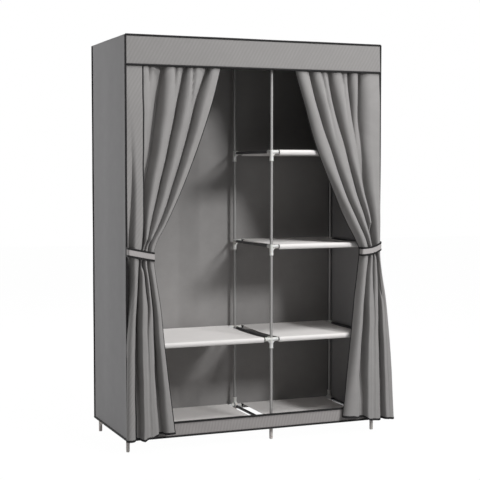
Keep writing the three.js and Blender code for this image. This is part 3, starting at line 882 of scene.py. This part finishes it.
for s in np.linspace(0, 1, 96):
    lower_edge.append((
        left_x + edge_gap + front_width * s, front_y - valance_depth(s, 0) + 0.5 * mm, valance_z
    ))
placed(piped("piping_valance", [lower_edge]), "root", "cloth_grey")
side_seams = [
    edge((*corner["front_" + side], seam_z), (*corner["rear_" + side], seam_z), seed=1.4)
    for side in ("left", "right")
]
placed(piped("seam_side_top", side_seams, fine_piping_radius, side_cloth), "root", "cloth_grey")

proud = 0.3 * mm
stitch_left, stitch_right = left_x + 8 * mm, right_x - 8 * mm
front_stitches = [
    edge((stitch_left, front_y - proud, z), (stitch_right, front_y - proud, z), 0)
    for z in (top_z - stitch_inset, band_z - stitch_inset, hem_z + stitch_inset)
]
valance_share = stitch_inset / (top_z - valance_z)
front_stitches.append([
    (left_x + edge_gap + front_width * s, front_y - valance_depth(s, valance_share) - proud,
     valance_z + stitch_inset)
    for s in np.linspace(0.01, 0.99, 96)
])
placed(stitches("stitches_front", front_stitches, grey_thread), "root", "cloth_grey")
side_stitches = []
for x in (left_x - proud, right_x + proud):
    for y in (front_y + stitch_inset, back_y - stitch_inset):
        side_stitches.append(edge((x, y, hem_z + 8 * mm), (x, y, top_z - 8 * mm), 0))
    low_z = hem_z + stitch_inset
    side_stitches.append(edge((x, front_y + 8 * mm, low_z), (x, back_y - 8 * mm, low_z), 0))
placed(stitches("stitches_sides", side_stitches, grey_thread), "root", "cloth_grey")
back_stitches = [
    edge((stitch_left, back_y + proud, z), (stitch_right, back_y + proud, z), 0)
    for z in (hem_z + stitch_inset, top_z - stitch_inset)
]
placed(stitches("stitches_back", back_stitches, grey_thread), "root", "cloth_grey")

for node, piece in cover_pieces.items():
    placed(piece, "root", "cloth_grey", node)

# Curtains
# Two lengths of the same grey cloth, gathered on the rod by a sewn pocket, drawn in to the straps and
# hanging free below them. The left one has a flat bound strip along its outer edge. Rounded folds stand
# between deep valleys, and are held full at the heading and pressed narrow under the strap.
curtain_cloth_thick = 0.9 * mm
heading_z = 1582 * mm
curtain_hem_z = 56 * mm
hand_of = {"left": -1, "right": 1}
seam_at = {"left": left_x, "right": right_x}
# Heights at which the tables below are given, and how far the crests stand in front of the cover there.
curtain_levels = np.array(
    [1582, 1500, 1380, 1177, 1010, 890, 804, 775, 746, 680, 580, 442, 290, 120, 56]
) * mm
crest_forward = np.array([-3, -3, 2, 5, 14, 22, 25, 25, 25, 26, 29, 33, 39, 44, 46]) * mm
fold_depth = {
    "left": np.array([9, 28, 60, 64, 66, 56, 40, 36, 36, 48, 58, 58, 54, 36, 36]) * mm,
    "right": np.array([9, 28, 52, 32, 52, 50, 40, 36, 36, 48, 58, 58, 54, 36, 36]) * mm,
}
# Distance in from the corner seam of each valley, of the turn at the outer edge and of the inner edge.
curtain_lines = {
    "left": {
        "turn": [15, 15, 15, 24, 23, 16, 12, 13, 15, 17, 10, -1, -7, -12, -13],
        "bound": [71, 71, 70, 69, 66, 63, 59, 54, 49, 46, 41, 38, 38, 38, 38],
        "first": [158, 154, 144, 115, 83, 67, 63, 58, 53, 50, 45, 42, 42, 42, 42],
        "second": [258, 248, 226, 182, 135, 102, 76, 69, 63, 71, 81, 74, 76, 78, 78],
        "third": [352, 341, 304, 246, 187, 135, 89, 84, 82, 89, 101, 111, 116, 127, 131],
        "inner": [413, 393, 360, 289, 217, 156, 112, 105, 107, 114, 129, 142, 157, 176, 183],
    },
    "right": {
        "turn": [6, 6, 6, 6, 6, 6, 7, 7, 7, 0, -17, -32, -43, -49, -52],
        "fourth": [93, 91, 87, 74, 57, 38, 32, 28, 19, 9, -4, -13, -20, -27, -29],
        "third": [143, 140, 127, 96, 68, 43, 38, 33, 24, 16, 9, 5, 1, -3, -3],
        "second": [242, 229, 203, 149, 101, 65, 45, 42, 38, 37, 39, 41, 43, 45, 45],
        "first": [335, 315, 282, 215, 155, 101, 64, 58, 57, 62, 69, 75, 83, 85, 85],
        "inner": [411, 380, 342, 278, 203, 146, 103, 92, 92, 97, 108, 123, 144, 169, 178],
    },
}
# How far behind the crests each line lies, as a share of the fold's depth; a line not named lies a whole
# depth behind.
curtain_depth_shares = {
    "left": {
        "turn": [0, 0, 0, 0.08, 0.3, 0.5, 0.78, 0.8, 0.85, 0.72, 0.55, 0.4, 0.35, 0.45, 0.45],
        "bound": [0, 0, 0, 0, 0.04, 0.15, 0.4, 0.5, 0.65, 0.75, 0.9, 1, 1, 1, 1],
        "second": [1, 1, 1, 1, 1, 1, 1, 1, 1, 0.8, 0.35, 0.06, 0, 0, 0],
        "inner": [0.4, 0.3, 0.14, 0.12, 0.14, 0.2, 0.45, 0.5, 0.45, 0.25, 0.18, 0.16, 0.16, 0.2, 0.2],
    },
    "right": {
        "turn": [0, 0, 0, 0, 0.05, 0.1, 0.2, 0.2, 0.2, 0.2, 0.2, 0.2, 0.2, 0.2, 0.2],
        "fourth": [1, 1, 1, 1, 1, 1, 1, 0.8, 0.45, 0.12, 0.04, 0, 0, 0, 0],
        "second": [1, 1, 1, 1, 1, 1, 1, 1, 0.9, 0.55, 0.15, 0.03, 0, 0, 0],
        "inner": [0.85, 0.85, 0.55, 0.85, 0.76, 0.95, 1, 1, 1, 0.85, 0.8, 0.8, 0.8, 0.9, 0.9],
    },
}
# How far a fold's own crest has sunk, as a share of the depth, where it dies out between two others.
sunken_folds = {
    ("left", 1): [0, 0, 0.08, 0.5, 0.9, 1, 1, 1, 1, 1, 1, 1, 1, 1, 1],
    ("right", 1): [0, 0, 0.3, 0.97, 1, 1, 1, 0.8, 0.45, 0.12, 0.04, 0, 0, 0, 0],
}
# Half the width of a valley's floor, which opens out below the strap, and what each line takes of it.
valley_half = {
    "left": np.array([6, 6, 5, 3.5, 2, 1, 0.6, 0.6, 0.6, 1, 1.5, 3, 9, 16, 19]) * mm,
    "right": np.array([6, 6, 5, 3.5, 2, 1, 0.6, 0.6, 0.6, 1, 3, 9, 18, 26, 28]) * mm,
}
valley_shares = {"left": (0, 1, 1, 1, 1, 0), "right": (0, 0.9, 0.6, 1, 1, 0)}
# Where the crest stands between two lines, from the outer one, and how steep each fold's two sides are.
crest_shares = {"left": (0.4, 0.12, 0.38, 0.38, 0.45), "right": (0.5, 0.5, 0.62, 0.62, 0.55)}
fold_sides = {
    "left": ((0.9, 1.0), (1.0, 2.4), (0.75, 0.75), (0.75, 0.75), (0.75, 1.0)),
    "right": ((0.9, 0.9), (0.75, 0.75), (0.75, 0.75), (0.75, 0.75), (0.75, 0.85)),
}
# Creases that run down the folds from the heading: start and end distance from the seam, and end height.
crease_lines = {
    "left": [((102, 98), 1290), ((214, 192), 1310), ((288, 252), 1180)],
    "right": [((285, 200), 1200), ((180, 150), 1290)],
}
hem_lift = {"left": (0, 0, -2, 14, 18), "right": (0, 3, 0, 3, 20)}
half_fold = 13  # columns of points in half a fold


def smooth_through(heights, values, at):
    """A smooth curve through values at heights that fall, read at other heights."""
    heights, values = np.asarray(heights)[::-1], np.asarray(values, float)[::-1]
    slopes = np.gradient(values, heights)
    spot = np.clip(np.searchsorted(heights, at) - 1, 0, len(heights) - 2)
    step = heights[spot + 1] - heights[spot]
    t = np.clip((at - heights[spot]) / step, 0, 1)
    return (
        values[spot] * (1 + 2 * t) * (1 - t) ** 2 + slopes[spot] * step * t * (1 - t) ** 2
        + values[spot + 1] * t * t * (3 - 2 * t) + slopes[spot + 1] * step * t * t * (t - 1)
    )


def curtain_grid(side):
    """Rows of points from the heading to the hem, and from the outer edge to the inner one."""
    hand, seam_x = hand_of[side], seam_at[side]
    rows_z = np.concatenate([
        np.linspace(heading_z, 900 * mm, 110), np.linspace(900 * mm, curtain_hem_z, 140)[1:]
    ])
    names = list(curtain_lines[side])
    crest = smooth_through(curtain_levels, crest_forward, rows_z)
    depth = smooth_through(curtain_levels, fold_depth[side], rows_z)
    inset, behind = [], []
    for place, name in enumerate(names):
        lean = 0.9 * mm * np.sin(rows_z * 19 + 2.3 * place) + 0.5 * mm * np.sin(rows_z * 43 + place)
        calm = np.clip((heading_z - rows_z) / 0.3, 0, 1) * (0 if place in (0, 5) else 1)
        line = np.array(curtain_lines[side][name]) * mm
        inset.append(smooth_through(curtain_levels, line, rows_z) + lean * calm)
        shares = curtain_depth_shares[side].get(name, np.ones(len(curtain_levels)))
        share = smooth_through(curtain_levels, shares, rows_z)
        behind.append(np.clip(share, 0, 1) * depth)
    columns_x, columns_f, cloth_share, line_columns = [], [], [], []
    parted = np.interp(rows_z, (0.36, 0.5, 0.72, 0.75), (0, 1, 1, 0)) * (26 * mm if side == "left" else 0)
    for t in np.linspace(0, 1, 7)[:-1]:
        columns_x.append(mm + (inset[0] - mm) * t)
        flank = np.minimum(crest, 0) * (1 - t) + (crest - behind[0]) * t
        columns_f.append(flank - parted * np.sin(np.pi * t))
        cloth_share.append(0)
    half_floor = smooth_through(curtain_levels, valley_half[side], rows_z)
    for place in range(len(names) - 1):
        breadth = inset[place + 1] - inset[place]
        ends = []
        for line, way in ((place, 1), (place + 1, -1)):
            wide = np.maximum(half_floor * valley_shares[side][line], 0.5 * mm)
            ends.append(inset[line] + way * np.minimum(wide, 0.2 * breadth))
        near, far = ends
        near_d, far_d = behind[place], behind[place + 1]
        if place:
            floor = np.minimum(near - columns_x[-1], 12 * mm) * 0.25
            for t in (0.25, 0.5, 0.75):
                columns_x.append(last_x + (near - last_x) * t)
                columns_f.append(crest - near_d - floor * np.sin(np.pi * t))
                cloth_share.append(place)
                if t == 0.5:
                    line_columns.append(len(columns_x) - 1)
        sunk = (near_d + far_d) / 2
        lower = sunk - np.minimum(sunk, breadth ** 2 / (7 * mm))
        if (side, place) in sunken_folds:
            dying = smooth_through(curtain_levels, sunken_folds[side, place], rows_z)
            lower = np.maximum(lower, np.clip(dying, 0, 1) * depth)
        top = crest_shares[side][place]
        near_power, far_power = fold_sides[side][place]
        if (side, place) == ("left", 0):
            near_power = np.interp(rows_z, (0.70, 0.80), (near_power, 2.2))
        for turn in np.linspace(0, np.pi, 2 * half_fold + 1):
            if turn <= np.pi / 2:
                u, gap, power = top * (1 - np.cos(turn)), near_d, near_power
            else:
                u, gap, power = 1 - (1 - top) * (1 + np.cos(turn)), far_d, far_power
            columns_x.append(near + (far - near) * u)
            columns_f.append(crest - lower - (gap - lower) * (1 - abs(np.sin(turn)) ** power))
            cloth_share.append(place + u)
        last_x = columns_x[-1]
    columns_x, columns_f = np.array(columns_x).T, np.array(columns_f).T
    cloth_share = np.array(cloth_share)
    for (start, end), stop in crease_lines[side]:
        along = np.clip((heading_z - rows_z) / (heading_z - stop * mm), 0, 1)
        line = (start + (end - start) * along) * mm
        deep = 13 * mm * np.sin(np.pi * along ** 0.5) * (along < 1)
        columns_f -= deep[:, None] * np.exp(-(((columns_x - line[:, None]) / (6.5 * mm)) ** 2))
    t = np.clip((0.5 - rows_z) / 0.45, 0, 1) ** 2
    lift = np.interp(cloth_share, np.arange(5) + 0.5, hem_lift[side]) * mm
    z = rows_z[:, None] + t[:, None] * lift[None, :]
    x = seam_x - hand * columns_x
    y = front_y - columns_f
    body = np.stack([x, y, z], axis=2)
    pocket_rows = [
        (1566, 0.10), (1568, 0.3), (1574, 0.85), (1582, 1), (1590, 0.95), (1595, 0.8), (1597, 0.5),
        (1595, 0.2), (1590, 0.05),
    ]
    pocket = []
    for height_mm, turned_share in pocket_rows:
        row = body[0].copy()
        behind_rod = 2 * rod_middle.y - row[:, 1]
        free = np.clip((np.abs(row[:, 0] - seam_x) - 24 * mm) / (8 * mm), 0, 1)
        row[:, 1] += (behind_rod - row[:, 1]) * turned_share * free
        row[:, 2] = height_mm * mm
        pocket.append(row)
    return np.concatenate([np.array(pocket), body]), len(pocket), line_columns[0]


def tape_on_edge(name, line, inward, outward, wide, thick):
    """A folded black tape round an edge of cloth: line is the edge, inward points into the cloth."""
    sections = []
    for spot, inn, out in zip(line, inward, outward):
        spot, inn, out = (np.array(v, float) for v in (spot, inn, out))
        inn, out = inn / np.linalg.norm(inn), out / np.linalg.norm(out)
        sections.append([
            spot + inn * a * wide + out * b * thick
            for a, b in ((1, 0.8), (0.5, 1), (0, 0.9), (-0.1, 0), (0, -0.9), (0.5, -1), (1, -0.8))
        ])
    count, around = len(sections), len(sections[0])
    faces = []
    for i in range(count - 1):
        for j in range(around):
            k = (j + 1) % around
            faces.append([i * around + j, i * around + k, (i + 1) * around + k, (i + 1) * around + j])
    faces += [list(range(around)), [(count - 1) * around + j for j in reversed(range(around))]]
    return solid(name, [spot for section in sections for spot in section], faces, black_tape)


strip_cloth = spun_cloth(
    "grey_spun_polypropylene_strip", grey, grey_shadow, ribs=[(-30, 13 * mm)], rib_contrast=0.8
)
# The body named for each curtain, and where from the seam its cloth would start to follow it and be wholly
# on it; the cloth is not tied to it here.
curtain_motion = {
    "left": ("left_curtain", 90 * mm, 402 * mm),
    "right": ("right_curtain", 110 * mm, 393.5 * mm),
}
for side in ("left", "right"):
    grid, pocket_count, bound = curtain_grid(side)
    body, start_inset, end_inset = curtain_motion[side]
    hand, seam_x = hand_of[side], seam_at[side]
    ordered = grid if side == "left" else grid[:, ::-1]
    strip_columns = bound if side == "left" else 0
    curtain = cloth_sheet(
        f"curtain_{side}_cloth", ordered, plain_cloth, curtain_cloth_thick, 0, strip_columns, strip_cloth
    )
    main = grid[pocket_count:]
    slope = np.gradient(main, axis=1)
    fall = np.gradient(main, axis=0)
    normal = np.cross(slope, fall)
    size = np.maximum(np.linalg.norm(normal, axis=2, keepdims=True), 1e-12)
    normal *= -np.sign(normal[..., 1:2] + 1e-12) / size
    hem = tape_on_edge(f"curtain_{side}_hem_tape", main[-1], -fall[-1], normal[-1], 8 * mm, 1.6 * mm)
    inner_tape = tape_on_edge(
        f"curtain_{side}_inner_tape", main[:, -1], -slope[:, -1], normal[:, -1], 5 * mm, 1.6 * mm
    )
    trims = [hem, inner_tape]
    if side == "left":
        line = [main[i, bound] + normal[i, bound] * 0.6 * mm for i in range(0, len(main), 2)]
        trims.append(piped("curtain_left_strip_piping", [line], 2.9 * mm))
    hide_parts(f"curtain_{side}")
    start = (seam_x - hand * start_inset, front_y, 0.8)
    end = (seam_x - hand * end_inset, front_y, 0.8)
    for piece in [curtain, *trims]:
        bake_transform(piece)

# Tiebacks
# Two straps of doubled grey cloth bound in black tape along both long edges and across both ends. Each
# starts at the corner seam and runs round the front of the gathered curtain, its inner end a little lower.
strap_thick = 1.6 * mm
strap_tall = 35 * mm
strap_cloth = spun_cloth("light_grey_doubled_cloth", "#B8B4B3", "#ABA7A6", ribs=[(-30, 9 * mm)])
# How far the outer and the inner end lie beyond the CAD strap's, and how far the strap hangs along it.
strap_reach = {"left": (0, 9 * mm), "right": (-4 * mm, 4 * mm)}
strap_sag = {"left": (12, 6.5, 1, -4.5, -9.5), "right": (10.5, -1.5, -8.5, -11, -12.5)}


def strap_path(side, offset):
    """The strap in plan, from the corner seam round the gathered cloth to its inner end."""
    low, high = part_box(f"tieback_{side}")
    outer, inner = (low.x, high.x) if side == "left" else (high.x, low.x)
    hand = hand_of[side]
    outer += hand * strap_reach[side][0]
    inner += hand * strap_reach[side][1]
    reach, bend = abs(inner - outer), 8 * mm
    crest_y = low.y + offset
    points = [(outer, front_y - 0.3 * mm)]
    for angle in np.radians(np.linspace(0, 90, 9)):
        points.append((
            outer - hand * (bend - (bend - offset) * np.cos(angle)),
            crest_y + (bend - offset) * (1 - np.sin(angle)),
        ))
    for t in np.linspace(0, 1, 14)[1:-1]:
        points.append((outer - hand * (bend + (reach - 2 * bend) * t), crest_y))
    for angle in np.radians(np.linspace(90, 0, 9)):
        points.append((
            inner + hand * (bend - (bend - offset) * np.cos(angle)),
            crest_y + (bend - offset) * (1 - np.sin(angle)),
        ))
    points.append((inner + hand * offset, high.y))
    return points, outer, reach


for side in ("left", "right"):
    path, outer, reach = strap_path(side, strap_thick / 2)
    low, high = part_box(f"tieback_{side}")
    middle_z = (low.z + high.z) / 2
    hang = [np.interp(abs(x - outer) / reach, np.linspace(0, 1, 5), strap_sag[side]) * mm for x, y in path]
    grid = []
    for up in np.linspace(-0.5, 0.5, 9):
        grid.append([(x, y, middle_z + up * strap_tall + sunk) for (x, y), sunk in zip(path, hang)])
    if side == "right":
        grid = [line[::-1] for line in grid]
    strap = cloth_sheet(f"tieback_{side}_strap", grid, strap_cloth, strap_thick, offset=0)
    lines = np.array(grid)
    tapes = []
    for place, way in ((0, 1), (-1, -1)):
        line = lines[place]
        along = np.gradient(line, axis=0)
        inward = np.tile((0, 0, way), (len(line), 1)).astype(float)
        outward = np.cross(along, inward)
        outward *= -np.sign(outward[len(line) // 2, 1])
        tapes.append(tape_on_edge(
            f"tieback_{side}_tape_{'lower' if way > 0 else 'upper'}", line, inward, outward, 7 * mm, 1.5 * mm
        ))
    for place, after, end_name in ((0, 1, "first"), (-1, -2, "last")):
        end_line = lines[:, place]
        end_way = lines[:, after] - end_line
        end_out = np.cross(np.tile((0, 0, 1.0), (len(end_line), 1)), end_way)
        end_out *= np.sign(end_out[:, :1]) * (-1 if side == "left" else 1)
        tapes.append(tape_on_edge(
            f"tieback_{side}_tape_{end_name}", end_line, end_way, end_out, 7 * mm, 1.5 * mm
        ))
    body = f"{side}_tieback"
    placed(strap, body, "cloth_grey", f"tieback_{side}")
    for tape in tapes:
        placed(tape, body, "cloth_grey")

# Floor, light and camera
# A plain white floor that keeps a faint shadow, one soft key light from the right and above, weak fills
# and a camera at the photograph's angle.
floor_half = 12.0


def rays_that_see_white(tree):
    """One for the rays that see the white studio: from the camera, reflected or passed through."""
    rays = add_node(tree, "ShaderNodeLightPath")
    mirrored = add_node(
        tree, "ShaderNodeMath", {0: rays.outputs["Is Glossy Ray"], 1: rays.outputs["Is Transmission Ray"]},
        operation="MAXIMUM",
    )
    return add_node(
        tree, "ShaderNodeMath", {0: rays.outputs["Is Camera Ray"], 1: mirrored.outputs[0]},
        operation="MAXIMUM",
    )


floor_mesh = bpy.data.meshes.new("studio_floor")
floor_corners = [(x * floor_half, y * floor_half, 0) for x, y in ((-1, -1), (1, -1), (1, 1), (-1, 1))]
floor_mesh.from_pydata(floor_corners, [], [(0, 1, 2, 3)])
studio_floor = linked("studio_floor", floor_mesh)
floor_material = bpy.data.materials.new("white_floor_paint")
tree = emptied_tree(floor_material)
paint = add_node(tree, "ShaderNodeBsdfDiffuse", {"Color": linear("#A2A2A2")})
glow = add_node(tree, "ShaderNodeEmission", {"Color": (1, 1, 1, 1), "Strength": 1.05})
seen = rays_that_see_white(tree)
lifted = add_node(tree, "ShaderNodeMath", {0: seen.outputs[0], 1: 0.94}, operation="MULTIPLY")
floor_look = add_node(
    tree, "ShaderNodeMixShader", {0: lifted.outputs[0], 1: paint.outputs[0], 2: glow.outputs[0]}
)
add_node(tree, "ShaderNodeOutputMaterial", {"Surface": floor_look.outputs[0]})
floor_mesh.materials.append(floor_material)

world = bpy.data.worlds.new("studio_white")
bpy.context.scene.world = world
tree = emptied_tree(world)
seen = rays_that_see_white(tree)
ambient = 0.18
level_now = add_node(
    tree, "ShaderNodeMapRange", {"Value": seen.outputs[0], "To Min": ambient, "To Max": 1.0}
)
sky = add_node(tree, "ShaderNodeBackground", {"Color": (1, 1, 1, 1), "Strength": level_now.outputs[0]})
add_node(tree, "ShaderNodeOutputWorld", {"Surface": sky.outputs[0]})

aim = Vector((0, 0, 0.8))


def softbox(name, azimuth, elevation, distance, size, power):
    """A square soft light; azimuth counts from the front's normal towards the right."""
    turn, rise = np.radians(azimuth), np.radians(elevation)
    way = Vector((np.sin(turn) * np.cos(rise), -np.cos(turn) * np.cos(rise), np.sin(rise)))
    lamp = bpy.data.lights.new(name, "AREA")
    lamp.shape, lamp.size, lamp.energy = "SQUARE", size, power
    made = linked(name, lamp)
    made.location = aim + way * distance
    made.rotation_euler = (-way).to_track_quat("-Z", "Y").to_euler()


softbox("key_right", 24, 24, 4.5, 0.7, 108)
softbox("high_front", 14, 58, 4.2, 1.3, 84)
softbox("fill_left", -126, 14, 4.0, 1.6, 60)
softbox("fill_back", 165, 35, 4.5, 2.0, 60)

camera_data = bpy.data.cameras.new("camera")
camera_data.sensor_width = 36
camera_data.lens = 88.4
camera = linked("camera", camera_data)
camera.location = (-1.8655, -4.553, 1.106)
camera.rotation_euler = (np.radians(90 - 3.471), 0, np.radians(-22.142))
bpy.context.scene.camera = camera
bpy.context.scene.view_settings.view_transform = "Standard"
